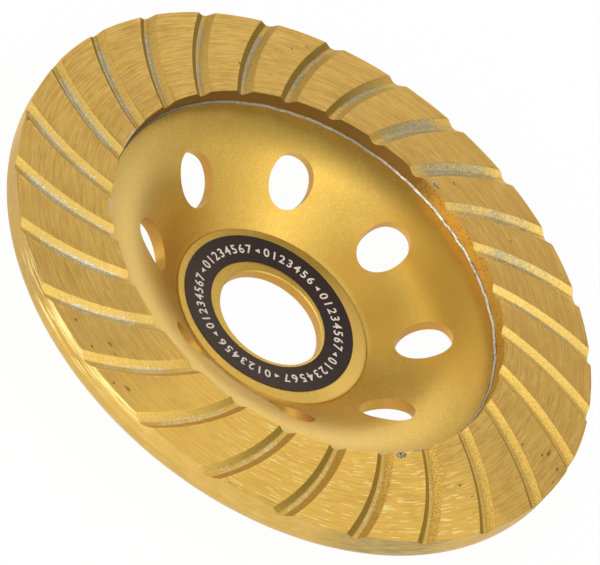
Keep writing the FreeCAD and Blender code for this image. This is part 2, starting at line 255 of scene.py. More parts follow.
# Grinding ring: gold paint ground round the face, with sinter showing in the grooves
ring = {
    "outerRadius": 62.5,
    "innerRadius": 42.65,
    "top": 19.0,
    "bottom": 15.55,
    "edgeRound": 0.16,
    "edgeMiddle": 0.3,  # how far in the middle of the rounding lies, in edgeRounds
    "steps": 480,
    "grooveCount": 26,
    "grooveFloor": 17.9,
    "floorHalf": 0.38,
    "mouthHalf": 1.725,
    "lip": 0.15,
    "floorCorner": [(-0.2, 0.0), (0.0, 0.03), (0.22, 0.15)],  # across from floorHalf, up from the floor
    "lipCorner": [(-0.6, -0.7), (0.0, -0.22), (0.9, 0.0)],  # in lips, from mouthHalf and the top
    "cutAbove": 1.0,
    "arcRadius": 50.63,
    "arcCentreRadius": 51.68,
    "arcCentreAzimuth": -38.67,
    "arcFrom": 58.0,
    "arcTo": 96.0,
    "arcSteps": 44,
    "patternX": -0.78,
    "patternY": 0.43,
    "steppedGroove": 6,
    "stepFrom": 75.8,
    "stepWidth": 0.42,
    "sliver": 0.001,
    "smoothAngle": 38,
}


def ringBlank():
    outer, inner, top, low, edge = (
        ring["outerRadius"], ring["innerRadius"], ring["top"], ring["bottom"], ring["edgeRound"]
    )
    inset = ring["edgeMiddle"] * edge
    points = [
        (inner, low),
        (outer, low),
        (outer, top - edge),
        (outer - inset, top - inset),
        (outer - edge, top),
        (inner + edge, top),
        (inner + inset, top - inset),
        (inner, top - edge),
    ]
    return turnSection(sectionLoop("diamondRing", points), ring["steps"])


def arcCentre():
    azimuth = math.radians(ring["arcCentreAzimuth"])
    return (
        ring["arcCentreRadius"] * math.cos(azimuth) + ring["patternX"],
        ring["arcCentreRadius"] * math.sin(azimuth) + ring["patternY"],
    )


def grooveCutter():
    # Trapezium with a rounded floor and a flared lip, turned about the centre of the groove's arc
    floor, half, mouth, lip, top = (
        ring["grooveFloor"], ring["floorHalf"], ring["mouthHalf"], ring["lip"], ring["top"]
    )
    side = [(half + x, floor + z) for x, z in ring["floorCorner"]]
    side += [(mouth + x * lip, top + z * lip) for x, z in ring["lipCorner"]]
    side.append((side[-1][0], top + ring["cutAbove"]))
    middle = ring["arcRadius"]
    points = [(middle + x, z) for x, z in side] + [(middle - x, z) for x, z in reversed(side)]
    cutter = sectionLoop("grooveCutter", points)
    sweep = ring["arcTo"] - ring["arcFrom"]
    return turnSection(cutter, ring["arcSteps"], sweep, ring["arcFrom"], arcCentre())


def widenTip(cutter):
    # One groove is wider on its near side towards the outside, from a small step in its edge
    centreX, centreY = [value * mm for value in arcCentre()]
    for vertex in cutter.data.vertices:
        across, along = vertex.co.x - centreX, vertex.co.y - centreY
        distance = math.hypot(across, along)
        angle = math.degrees(math.atan2(along, across))
        if angle < ring["stepFrom"] and distance < ring["arcRadius"] * mm:
            share = 1 - ring["stepWidth"] * mm / distance
            vertex.co.x, vertex.co.y = centreX + across * share, centreY + along * share


def turnedCopy(first, index):
    # The pattern turns about its own middle, a little off the axis
    copy = first.copy()
    copy.data = first.data.copy()
    if index == ring["steppedGroove"]:
        widenTip(copy)
    bpy.context.collection.objects.link(copy)
    makeActive(copy)
    turn = 2 * math.pi * index / ring["grooveCount"]
    across, along = ring["patternX"] * mm, ring["patternY"] * mm
    copy.rotation_euler[2] = turn
    copy.location = (
        across - across * math.cos(turn) + along * math.sin(turn),
        along - across * math.sin(turn) - along * math.cos(turn),
        0,
    )
    bpy.ops.object.transform_apply(location=True, rotation=True, scale=True)
    return copy


def grindingRing():
    blank = ringBlank()
    first = grooveCutter()
    copies = [turnedCopy(first, index) for index in range(1, ring["grooveCount"])]
    cutWith(blank, joinAll([first] + copies))
    cleanCut(blank, ring["sliver"])
    bpy.ops.object.shade_smooth_by_angle(angle=math.radians(ring["smoothAngle"]))
    weighted = blank.modifiers.new("weighted", "WEIGHTED_NORMAL")
    weighted.keep_sharp = True
    applyModifiers(blank)
    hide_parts("abrasive_ring")
    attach(blank, "root")
    return blank


# Outside wall of the ring and of the cup body: faint turned streaks, thinner paint in places, and brighter
# paint along the top edge and in scratches on one side, partly worn and partly painted highlight
wallPaint = {
    "gold": colour(208, 169, 85),
    "streak": colour(228, 192, 108),
    # Rubbed gold: worn paint, and also the painted highlight on the wall's lit side
    "rubbedAndLit": colour(255, 232, 150),
    "scored": colour(158, 118, 52),
    "thin": colour(160, 146, 96),
    "smudge": colour(120, 112, 84),
    "shaded": colour(218, 218, 226),
    "shadedShare": 0.6,

    # Zones round the wheel: azimuth, cosine of the angle from it where the zone starts, where it is full
    "zones": {
        # Rubbed zone: worn top edge with a painted highlight
        "rubbedAndLit": (303, 0.955, 0.99),
        "scuffed": (293, 0.955, 0.985),
        "shaded": (272, 0.92, 0.99),
        "bald": (6, 0.965, 0.998),
    },

    # Heights in millimetres over which a finish comes in
    "spans": {
        "topEdge": (17.2, 18.3),
        "scuffed": (15.2, 16.0),
    },

    # How fine the noise of each streak is along the turn, and across it
    "grain": {
        "turned": (9, 6200),
        "cloud": (30, 500),
        "scratch": (9, 4000),
        "drag": (14, 2600),
    },

    # Noise value where a mark starts, where it is full, and its share at both
    "marks": {
        "streak": (0.42, 0.7, 0.0, 0.6),
        "cloud": (0.45, 0.7, 0.0, 0.3),
        "rubbedAndLit": (0.38, 0.5, 0.0, 1.0),
        "bright": (0.5, 0.6, 0.0, 0.75),
        "scored": (0.45, 0.36, 0.0, 0.5),
        "thin": (0.32, 0.6, 0.2, 0.75),
        "smudge": (0.56, 0.68, 0.0, 0.5),
    },
}


def paintedWall(tree, direction, height):
    spans, grain, marks = wallPaint["spans"], wallPaint["grain"], wallPaint["marks"]
    zones = zoneMasks(tree, direction, wallPaint["zones"])
    turned = noise(tree, streakVector(tree, direction, height, *grain["turned"]), 1.0, 2.0)
    cloud = noise(tree, streakVector(tree, direction, height, *grain["cloud"]), 1.0, 2.0)
    streaks = between(tree, turned, *marks["streak"])
    wall = blend(tree, streaks, wallPaint["gold"], wallPaint["streak"])
    wall = blend(tree, between(tree, cloud, *marks["cloud"]), wall, wallPaint["streak"])

    # Rubbed bright along the top edge and scratched below it, partly worn and partly painted highlight, and
    # painted shade beside that
    high = reach(tree, height, spans["topEdge"])
    rubbedAndLit = times(tree, zones["rubbedAndLit"], high, between(tree, turned, *marks["rubbedAndLit"]))
    wall = blend(tree, rubbedAndLit, wall, wallPaint["rubbedAndLit"])
    scratch = lineMarks(tree, direction, height, *grain["scratch"])
    scuffed = times(tree, zones["scuffed"], reach(tree, height, spans["scuffed"]))
    bright = times(tree, scuffed, between(tree, scratch, *marks["bright"]))
    wall = blend(tree, bright, wall, wallPaint["rubbedAndLit"])
    scored = times(tree, scuffed, between(tree, scratch, *marks["scored"]))
    wall = blend(tree, scored, wall, wallPaint["scored"])
    shaded = calc(tree, "MULTIPLY", zones["shaded"], wallPaint["shadedShare"])
    wall = blend(tree, shaded, wall, wallPaint["shaded"], "MULTIPLY")

    # Thin paint with grey smudges
    drag = noise(tree, streakVector(tree, direction, height, *grain["drag"]), 1.0, 3.0)
    thin = times(tree, zones["bald"], between(tree, drag, *marks["thin"]))
    wall = blend(tree, thin, wall, wallPaint["thin"])
    smudged = times(tree, zones["bald"], between(tree, drag, *marks["smudge"]))
    return blend(tree, smudged, wall, wallPaint["smudge"])


# Paint of the ring, and what shows where it is worn
ringPaint = {
    "face": colour(216, 175, 87),
    # Near colours of face, groove and sinter: painted light on the near side
    "faceNear": colour(247, 199, 92),
    "faceDark": colour(176, 133, 56),
    "faceGlint": colour(255, 232, 150),
    "groove": colour(224, 190, 102),
    "grooveDark": colour(186, 148, 66),
    "grooveNear": colour(232, 194, 98),
    "grooveCream": colour(242, 206, 116),
    # Painted light on groove slopes that face the light
    "paintedSlopeLight": colour(252, 208, 104),
    "sinter": colour(190, 180, 144),
    "sinterGrey": colour(152, 143, 108),
    "sinterNear": colour(226, 210, 156),
    # Painted shade on groove slopes that face away from the light
    "paintedSlopeShade": colour(198, 200, 172),
    # Slope: painted shade on the near grooves' outward slopes, and the darkening of the grooves behind
    "slope": colour(226, 210, 184),
    # Sparkle: painted glints on the grit
    "sparkle": colour(246, 242, 224),
    "inside": colour(218, 178, 82),
    "bare": colour(132, 104, 56),
    "pit": colour(104, 82, 56),
    "chip": colour(106, 90, 72),
    "silver": colour(206, 200, 182),
    "metallic": 0.82,
    "grooveRoughness": 0.06,
    "bumpStrength": 0.28,
    "bumpDistance": 0.1,

    # Zones round the wheel, given as for the wall, and what they hold
    "zones": {
        "near": (-9, 0.6, 0.93),  # painted light: brighter, warmer face, grooves and sinter on the near side
        "front": (-1, 0.8, 0.96),  # painted glints on the ground lines
        "right": (112, 0.3, 0.95),  # painted shade: darker face
        "left": (262, 0.45, 0.9),  # grit reaching higher, and brighter painted glints on it
        "grey": (130, 0.8, 0.98),  # grooves worn all over
        "cream": (98, 0.72, 0.96),  # paler grooves
        "cleanAndLit": (42, 0.7, 0.93),  # less grit, and painted light on the slopes that face the light
        "dull": (140, 0.4, 0.85),  # greyer sinter
        "behind": (195, 0.6, 0.92),  # darker grooves
        "gritty": (200, -0.6, 0.2),  # more grit along the floor
        "bareInside": (190, 0.3, 0.8),  # inside wall without paint
    },

    # Heights and radii in millimetres over which one finish passes into the next
    "spans": {
        "intoGroove": (18.97, 18.86),
        "innerEnd": (42.5, 48.5),
        "outerEnd": (62.3, 57.5),
        "gritTop": 18.25,
        "gritTopLeft": 0.5,  # how much higher the grit reaches on the left
        "gritFull": 17.96,
        "outsideWall": (62.36, 62.44),
        "insideWall": (42.74, 42.68),
    },

    # How fine each noise is; the ground lines have a number along the turn and one across it
    "grain": {
        "close": (7, 4600),
        "long": (11, 3100),
        "short": (13, 4300),
        "cloud": 130,
        "patch": 110,
        "grit": 4400,
        "flecks": 1700,
    },

    # Value where a mark starts, where it is full, and its share at both
    "marks": {
        "faintLines": (0.4, 0.66, 0.0, 0.4),
        "darkLines": (0.58, 0.68, 0.0, 0.32),
        "calmNear": (0.0, 1.0, 1.0, 0.45),
        "clouds": (0.45, 0.75, 0.0, 0.3),
        "gleam": (0.6, 0.66, 0.0, 1.0),
        "gleamFront": (0.0, 1.0, 0.12, 0.9),
        "patches": (0.3, 0.62, 0.6, 1.1),
        "lessGrit": (0.0, 1.0, 1.0, 0.5),
        "grain": (0.4, 0.66, 0.0, 0.65),
        "sinter": (0.55, 0.84, 0.0, 0.85),
        "glint": (0.5, 0.62, 0.0, 1.0),
        "glintOnSinter": (0.56, 0.86, 0.0, 1.0),
        "leeInGrey": (0.0, 1.0, 1.0, 0.2),
        "sunnyGrain": (0.58, 0.4, 0.15, 0.95),
        "insideGrain": (0.42, 0.6, 0.0, 0.8),
        "insideFlecks": (0.5, 0.7, 0.0, 0.5),
        "insideBare": (0.3, 0.9, 0.0, 1.0),
        "wornEdge": (0.4, 0.55, 0.0, 1.0),
        "chip": (0.45, 0.6, 0.0, 1.0),
        "roughness": (0.3, 0.7, 0.42, 0.52),
    },

    # How much of a finish is laid over the one below it
    "shares": {
        "darkRight": 0.35,
        "cream": 0.7,
        "gritInnerEnd": 0.3,
        "gritOuterEnd": 0.2,
        "gritOnFloor": 1.1,
        "floorGrit": 0.5,
        "moreFloorGrit": 0.25,
        "wornCream": 0.2,
        "wornSides": 0.8,
        "flecks": 0.9,
        "worn": 0.42,
        "glint": 0.45,
        "moreGlint": 0.55,
        "behind": 0.5,
        "bareFlecks": 0.5,
        "shortRelief": 0.6,
    },

    # Slopes of the grooves: the direction they face, and the cosines from it where it starts and is full
    "slopes": {
        # The lee and outer slopes get painted shade, the sunny ones painted light
        "lee": ((-0.09, 1, 0), 0.12, 0.45),
        "outer": ((-0.53, -0.85, 0), 0.2, 0.5),
        "sunny": ((0.27, -0.96, 0), 0.2, 0.5),
    },

    # Spots: azimuth, radius, length round the wheel, width across it, strength
    "pits": [
        (28.9, 55.0, 0.9, 0.3, 0.7), (27.5, 52.0, 1.1, 0.35, 0.8), (53.8, 57.7, 2.2, 0.5, 0.7),
        (52.2, 56.8, 0.7, 0.5, 0.8), (51.8, 60.8, 0.8, 0.7, 0.8), (48.4, 61.6, 0.6, 0.6, 0.6),
        (50.9, 52.5, 0.5, 0.6, 0.6), (132.7, 53.0, 0.7, 0.7, 0.8), (128.7, 48.7, 1.0, 0.6, 0.8),
        (171.7, 58.7, 0.9, 0.5, 0.8), (175.3, 56.8, 0.6, 0.5, 0.7), (189.5, 49.8, 0.6, 0.7, 0.8),
        (110.6, 52.2, 0.8, 0.6, 0.7), (308.7, 61.4, 0.8, 0.5, 0.9), (301.1, 59.9, 0.7, 0.5, 0.9),
        (310.9, 59.7, 1.8, 0.5, 0.7), (301.8, 55.9, 1.4, 0.6, 0.7), (295.3, 59.7, 0.7, 0.5, 0.9),
        (249.9, 61.9, 1.6, 0.7, 0.8), (304.0, 56.5, 1.2, 0.4, 0.5),
    ],
    "chips": [
        (16.4, 43.4, 2.7, 1.5, 0.95), (21.9, 42.8, 1.6, 0.9, 0.95), (131.0, 43.9, 2.4, 1.2, 0.8),
    ],
    "worn": [
        (265.0, 42.9, 5.0, 1.0, 0.75), (273.5, 43.2, 3.4, 0.7, 0.5), (280.0, 43.3, 4.0, 0.6, 0.4),
        (238.0, 42.7, 9.0, 0.6, 0.5), (324.6, 43.0, 3.0, 1.0, 0.5), (286.0, 52.0, 3.0, 0.5, 0.35),
    ],
    "spotGrain": 1600,
    "spotRagged": 1.1,
    "spotDepth": 3.0,
    "spotEdge": (1.1, 0.75),  # where a spot starts and is full, in half widths from its middle
}


def spots(tree, place, spotList):
    # Ragged oval marks at given places on the ring
    grain = [("Vector", place), ("Scale", ringPaint["spotGrain"]), ("Detail", 2)]
    waver = addNode(tree, "ShaderNodeTexNoise", grain)
    shake = vectorCalc(tree, "SUBTRACT", waver.outputs["Color"], (0.5, 0.5, 0.5))
    shift = vectorCalc(tree, "SCALE", shake, scale=ringPaint["spotRagged"] * mm)
    ragged = vectorCalc(tree, "ADD", place, shift)
    total = 0.0
    for azimuth, radius, length, width, strength in spotList:
        turn = math.radians(azimuth)
        middle = (radius * mm * math.cos(turn), radius * mm * math.sin(turn), ring["top"] * mm)
        inputs = [("Vector", ragged), ("Location", middle), ("Rotation", (0, 0, turn))]
        inputs.append(("Scale", (width * mm / 2, length * mm / 2, ringPaint["spotDepth"] * mm)))
        local = addNode(tree, "ShaderNodeMapping", inputs, vector_type="TEXTURE").outputs[0]
        inside = between(tree, vectorCalc(tree, "LENGTH", local), *ringPaint["spotEdge"], 0.0, strength)
        total = calc(tree, "MAXIMUM", total, inside)
    return total


def ringFace(tree, place, zones, close, long, short):
    # Grinding lines round the face: close and faint all over, a few dark, and bright ones painted as
    # glints, faint all round and full in front
    marks = ringPaint["marks"]
    cloud = noise(tree, place, ringPaint["grain"]["cloud"], 3.0)
    # Painted light: the face is brighter towards the near side
    face = blend(tree, zones["near"], ringPaint["face"], ringPaint["faceNear"])
    dark = ringPaint["faceDark"]
    # Painted shade: the face is darker on the far right
    face = blend(tree, calc(tree, "MULTIPLY", zones["right"], ringPaint["shares"]["darkRight"]), face, dark)
    calm = between(tree, zones["near"], *marks["calmNear"])
    face = blend(tree, times(tree, between(tree, close, *marks["faintLines"]), calm), face, dark)
    face = blend(tree, times(tree, between(tree, long, *marks["darkLines"]), calm), face, dark)
    face = blend(tree, between(tree, cloud, *marks["clouds"]), face, dark)
    # Painted glints on the short ground lines
    inFront = between(tree, zones["front"], *marks["gleamFront"])
    gleam = times(tree, between(tree, short, *marks["gleam"]), inFront)
    face = blend(tree, gleam, face, ringPaint["faceGlint"])
    return blend(tree, spots(tree, place, ringPaint["pits"]), face, ringPaint["pit"])


def wornGrit(tree, place, radius, height, zones):
    # How far the paint is worn to the grit: along the floor, and all over on the far right
    spans, marks, shares = ringPaint["spans"], ringPaint["marks"], ringPaint["shares"]
    patch = noise(tree, place, ringPaint["grain"]["patch"], 3.0, 0.6)
    inner = reach(tree, radius, spans["innerEnd"], shares["gritInnerEnd"], 1.0)
    along = times(tree, inner, reach(tree, radius, spans["outerEnd"], shares["gritOuterEnd"], 1.0))
    higher = calc(tree, "MULTIPLY", zones["left"], spans["gritTopLeft"] * mm)
    rim = calc(tree, "ADD", higher, spans["gritTop"] * mm)
    low = between(tree, height, rim, spans["gritFull"] * mm, 0.0, shares["gritOnFloor"])
    more = calc(tree, "MULTIPLY", zones["gritty"], shares["moreFloorGrit"])
    floor = calc(tree, "MULTIPLY", low, calc(tree, "ADD", more, shares["floorGrit"]))
    cream = calc(tree, "MULTIPLY", zones["cream"], shares["wornCream"])
    sides = times(tree, calc(tree, "ADD", zones["grey"], cream, clamp=True), shares["wornSides"])
    worn = calc(tree, "MAXIMUM", floor, sides)
    worn = times(tree, along, worn, between(tree, patch, *marks["patches"]))
    return calc(tree, "MULTIPLY", worn, between(tree, zones["cleanAndLit"], *marks["lessGrit"]))


def ringGroove(tree, place, radius, height, zones, grit, flecks):
    marks, shares, slopes = ringPaint["marks"], ringPaint["shares"], ringPaint["slopes"]
    # Painted light: grooves brighter towards the near side
    groove = blend(tree, zones["near"], ringPaint["groove"], ringPaint["grooveNear"])
    cream = calc(tree, "MULTIPLY", zones["cream"], shares["cream"])
    groove = blend(tree, cream, groove, ringPaint["grooveCream"])
    groove = blend(tree, between(tree, grit, *marks["grain"]), groove, ringPaint["grooveDark"])

    # Grey grit where the paint is worn, with white painted glints on it, brighter on the left
    worn = wornGrit(tree, place, radius, height, zones)
    flecked = calc(tree, "MULTIPLY", flecks, shares["flecks"])
    here = calc(tree, "ADD", flecked, calc(tree, "MULTIPLY", worn, shares["worn"]))
    sinter = blend(tree, zones["dull"], ringPaint["sinter"], ringPaint["sinterGrey"])
    # Painted light: sinter brighter towards the near side
    sinter = blend(tree, zones["near"], sinter, ringPaint["sinterNear"])
    groove = blend(tree, between(tree, here, *marks["sinter"]), groove, sinter)
    more = calc(tree, "MULTIPLY", zones["left"], shares["moreGlint"])
    shine = calc(tree, "ADD", more, shares["glint"], clamp=True)
    glint = between(tree, grit, *marks["glint"])
    spark = times(tree, shine, glint, between(tree, here, *marks["glintOnSinter"]))
    groove = blend(tree, spark, groove, ringPaint["sparkle"])

    # Painted shade on slopes that face away from the light, and painted light on slopes that face it
    lee = times(tree, facing(tree, *slopes["lee"]), between(tree, zones["grey"], *marks["leeInGrey"]))
    groove = blend(tree, lee, groove, ringPaint["paintedSlopeShade"], "MULTIPLY")
    outer = times(tree, facing(tree, *slopes["outer"]), zones["near"])
    groove = blend(tree, outer, groove, ringPaint["slope"], "MULTIPLY")
    behind = calc(tree, "MULTIPLY", zones["behind"], shares["behind"])
    groove = blend(tree, behind, groove, ringPaint["slope"], "MULTIPLY")
    grained = between(tree, grit, *marks["sunnyGrain"])
    sunny = times(tree, facing(tree, *slopes["sunny"]), zones["cleanAndLit"], grained)
    return blend(tree, sunny, groove, ringPaint["paintedSlopeLight"])


def ringInside(tree, zones, grit, flecks):
    # Gold on the right, brown and bare at the far left
    marks = ringPaint["marks"]
    flecked = calc(tree, "MULTIPLY", flecks, ringPaint["shares"]["bareFlecks"])
    bare = calc(tree, "ADD", zones["bareInside"], flecked)
    rough = between(tree, grit, *marks["insideGrain"])
    inside = blend(tree, rough, ringPaint["inside"], ringPaint["grooveDark"])
    inside = blend(tree, between(tree, flecks, *marks["insideFlecks"]), inside, ringPaint["bare"])
    return blend(tree, between(tree, bare, *marks["insideBare"]), inside, ringPaint["bare"])


def ringMaterial():
    spans, grain, marks = ringPaint["spans"], ringPaint["grain"], ringPaint["marks"]
    material, tree, shader = startMaterial("groundGoldPaint")
    place, radius, direction, height = wheelCoordinates(tree)
    zones = zoneMasks(tree, direction, ringPaint["zones"])
    close = lineMarks(tree, direction, radius, *grain["close"])
    long = lineMarks(tree, direction, radius, *grain["long"])
    short = lineMarks(tree, direction, radius, *grain["short"])
    grit = noise(tree, place, grain["grit"], 2.0, 0.6)
    flecks = noise(tree, place, grain["flecks"], 2.0, 0.7)

    depth = reach(tree, height, spans["intoGroove"])
    face = ringFace(tree, place, zones, close, long, short)
    groove = ringGroove(tree, place, radius, height, zones, grit, flecks)
    base = blend(tree, depth, face, groove)
    wall = paintedWall(tree, direction, height)
    base = blend(tree, reach(tree, radius, spans["outsideWall"]), base, wall)
    inside = ringInside(tree, zones, grit, flecks)
    base = blend(tree, reach(tree, radius, spans["insideWall"]), base, inside)

    # Bright worn places along the inner edge, and chips to the dark sinter
    worn = times(tree, spots(tree, place, ringPaint["worn"]), between(tree, flecks, *marks["wornEdge"]))
    base = blend(tree, worn, base, ringPaint["silver"])
    chipped = blend(tree, between(tree, grit, *marks["chip"]), ringPaint["chip"], ringPaint["silver"])
    base = blend(tree, spots(tree, place, ringPaint["chips"]), base, chipped)
    tree.links.new(base, shader.inputs["Base Color"])
    shader.inputs["Metallic"].default_value = ringPaint["metallic"]
    rough = between(tree, close, *marks["roughness"])
    rougher = calc(tree, "MULTIPLY", depth, ringPaint["grooveRoughness"])
    tree.links.new(calc(tree, "ADD", rough, rougher), shader.inputs["Roughness"])
    lines = calc(tree, "ADD", close, calc(tree, "MULTIPLY", short, ringPaint["shares"]["shortRelief"]))
    relief = addNode(tree, "ShaderNodeMix", [(0, depth), (2, lines), (3, grit)], data_type="FLOAT")
    raised = bump(tree, relief.outputs[0], ringPaint["bumpStrength"], ringPaint["bumpDistance"])
    tree.links.new(raised, shader.inputs["Normal"])
    return material


dress(grindingRing(), ringMaterial())
print("grinding ring cut and painted")


# Cup body: satin gold paint over turned steel
bodyPaint = {
    "gold": colour(221, 184, 94),
    "shade": colour(208, 169, 75),
    "cream": colour(222, 194, 128),
    # Warm gold: painted reflection on the bowl's wall
    "paintedReflection": colour(240, 180, 66),
    # Deep gold: painted shade at the root of the bowl
    "root": colour(192, 146, 60),
    # Pale gold: painted highlight on the hub's seat
    "pale": colour(250, 210, 112),
    "hole": colour(196, 144, 66),
    "creamShare": 0.4,
    "paintedReflectionShare": 0.6,
    "rootShadeShare": 0.7,
    "seatHighlightShare": 0.8,
    "holeShare": 0.8,
    "metallic": 0.9,
    "roughness": 0.45,
    "bumpStrength": 0.2,
    "bumpDistance": 0.08,

    # Zones round the wheel, given as for the wall
    "zones": {
        "cream": (310, -0.2, 0.7),
        "paintedReflection": (97, 0.66, 0.97),
        "rootShadeNear": (295, -0.1, 0.7),
        "rootShadeFar": (108, 0.72, 0.95),
        "seat": (78, 0.4, 0.9),
    },

    # Radii in millimetres over which one finish passes into the next
    "spans": {
        "seatEdge": (21, 20),
        "aboveSeat": (21, 22),
        "root": (30, 25),
        "reflectionFrom": (27, 32),
        "reflectionTo": (43, 38),
        "shoulder": (29, 35),
        "holes": (41, 38),
        "outsideWall": (62.0, 62.3),
    },

    # How fine each noise is, then where its shade starts, where it is full, and its share at both
    "grain": {
        "grain": (2600, (0.3, 0.7, 0.0, 1.0)),
        "mottle": (700, (0.42, 0.66, 0.0, 0.55)),
        "cloud": (70, (0.4, 0.7, 0.0, 0.3)),
    },
}


def bodyMaterial():
    textures = bodyPaint["grain"]
    material, tree, shader = startMaterial("satinGoldPaint")
    place, radius, direction, height = wheelCoordinates(tree)
    zones = zoneMasks(tree, direction, bodyPaint["zones"])
    spans = {name: reach(tree, radius, span) for name, span in bodyPaint["spans"].items()}
    grain = noise(tree, place, textures["grain"][0], 2.0, 0.6)
    mottle = noise(tree, place, textures["mottle"][0], 2.0)
    cloud = noise(tree, place, textures["cloud"][0], 2.0)
    base = bodyPaint["gold"]
    for name, pattern in (("grain", grain), ("mottle", mottle), ("cloud", cloud)):
        base = blend(tree, between(tree, pattern, *textures[name][1]), base, bodyPaint["shade"])

    # Paler on the shoulder, a warm painted reflection on the bowl's wall, painted shade deeper at its root,
    # and a painted highlight on the hub's seat
    cream = times(tree, zones["cream"], spans["shoulder"], bodyPaint["creamShare"])
    base = blend(tree, cream, base, bodyPaint["cream"])
    paintedReflection = times(tree, zones["paintedReflection"], spans["reflectionTo"], spans["reflectionFrom"], bodyPaint["paintedReflectionShare"])
    base = blend(tree, paintedReflection, base, bodyPaint["paintedReflection"])
    # Painted shade at the root of the bowl
    rootShadeSide = calc(tree, "MAXIMUM", zones["rootShadeNear"], zones["rootShadeFar"])
    root = times(tree, rootShadeSide, spans["root"], spans["aboveSeat"], bodyPaint["rootShadeShare"])
    base = blend(tree, root, base, bodyPaint["root"])
    # Painted highlight on the hub's seat
    seat = times(tree, zones["seat"], spans["seatEdge"], bodyPaint["seatHighlightShare"])
    base = blend(tree, seat, base, bodyPaint["pale"])

    # Walls of the holes and the bore, which face neither up nor down, and the outside wall
    notUp = facing(tree, (0, 0, 1), 0.5, 0.2)
    notDown = facing(tree, (0, 0, 1), -0.5, -0.2)
    holes = times(tree, notUp, notDown, spans["holes"], bodyPaint["holeShare"])
    base = blend(tree, holes, base, bodyPaint["hole"])
    wall = paintedWall(tree, direction, height)
    base = blend(tree, spans["outsideWall"], base, wall)
    tree.links.new(base, shader.inputs["Base Color"])
    shader.inputs["Metallic"].default_value = bodyPaint["metallic"]
    shader.inputs["Roughness"].default_value = bodyPaint["roughness"]
    raised = bump(tree, grain, bodyPaint["bumpStrength"], bodyPaint["bumpDistance"])
    tree.links.new(raised, shader.inputs["Normal"])
    return material


dress(nodes["cup_body"], bodyMaterial())
print("cup body painted")


# Braze fillet: a thin bare line, brighter on the right as a painted highlight, between dark gold above and
# below that is painted shade in the corner
brazePaint = {
    "bright": colour(214, 208, 188),
    "bare": colour(138, 132, 112),
    # Dark gold: painted shade in the corner between ring and body
    "gold": colour(112, 86, 42),
    "innerEdge": (42.2, 42.27),
    "outerEdge": (42.6, 42.53),
    "wander": 0.5,
    "farRight": (110, 0.72, 0.97),
    "nearRight": (50, 0.76, 0.94),
    "nearShare": 0.85,
    "goldFlecks": (0.52, 0.64, 0.0, 0.4),
    "wanderGrain": 300,
    "fleckGrain": 1500,
    "lumpGrain": 1100,
    "metallic": 0.9,
    "roughness": 0.42,
    "bumpStrength": 0.5,
    "bumpDistance": 0.3,
}


def brazeMaterial():
    material, tree, shader = startMaterial("bareBraze")
    place, radius, direction, _ = wheelCoordinates(tree)
    wander = noise(tree, place, brazePaint["wanderGrain"], 4.0, 0.7)
    flecks = noise(tree, place, brazePaint["fleckGrain"], 2.0)
    aside = calc(tree, "MULTIPLY", calc(tree, "SUBTRACT", wander, 0.5), brazePaint["wander"] * mm)
    middle = calc(tree, "ADD", radius, aside)
    inner = reach(tree, middle, brazePaint["innerEdge"])
    line = times(tree, inner, reach(tree, middle, brazePaint["outerEdge"]))
    # Painted highlight: the bare line is brighter on the right
    nearRight = towards(tree, direction, brazePaint["nearRight"])
    nearRight = calc(tree, "MULTIPLY", nearRight, brazePaint["nearShare"])
    clear = calc(tree, "MAXIMUM", towards(tree, direction, brazePaint["farRight"]), nearRight)
    bare = blend(tree, clear, brazePaint["bare"], brazePaint["bright"])
    bare = blend(tree, between(tree, flecks, *brazePaint["goldFlecks"]), bare, brazePaint["gold"])
    base = blend(tree, line, brazePaint["gold"], bare)
    tree.links.new(base, shader.inputs["Base Color"])
    shader.inputs["Metallic"].default_value = brazePaint["metallic"]
    shader.inputs["Roughness"].default_value = brazePaint["roughness"]
    lumps = noise(tree, place, brazePaint["lumpGrain"], 2.0)
    raised = bump(tree, lumps, brazePaint["bumpStrength"], brazePaint["bumpDistance"])
    tree.links.new(raised, shader.inputs["Normal"])
    return material


dress(nodes["braze_bead"], brazeMaterial())
print("braze finished")


# Hub label: dark film with a ring of plain numbers and pointers
label = {
    "centre": (-0.53, -0.64),
    "outerEdge": 19.34,  # from the bore axis, where the top of the label is at edgeHeight
    "edgeHeight": 3.13,
    "slope": 4.7,
    "numberRadius": 15.3,
    "numberSize": 2.75,
    "boldness": 0.04,
    "thickness": 0.02,
    "lift": 0.4,  # how far the middle of a mark stands above the film, in thicknesses
    "curveSteps": 3,
    "weld": 0.0005,
    "pointerShape": [(-0.55, 0), (0.45, -0.5), (0.45, 0.5)],
    "pointerLength": 1.05,
    "pointerGap": 4.3,
    "sectors": [  # azimuth of its pointer, azimuth of the next, how many numbers between
        (242.1, 180.8, 8), (180.8, 126.3, 7), (126.3, 63.8, 8),
        (63.8, -2.6, 8), (-2.6, -58.0, 7), (-58.0, -117.9, 8),
    ],
    "dark": colour(46, 34, 32),
    # Pale film: the painted sheen on the lit side, and what shows where the print is worn
    "pale": colour(61, 47, 39),
    "marks": colour(222, 212, 196),
    "sheenSide": (300, -0.4, 1.0),
    "cloudGrain": 240,
    "cloudShare": 0.2,
    "filmRoughness": 0.5,
    "filmSpecular": 0.2,
    "wearGrain": 2200,
    "wear": (0.5, 0.75, 0.0, 0.35),
    "printRoughness": 0.6,
}


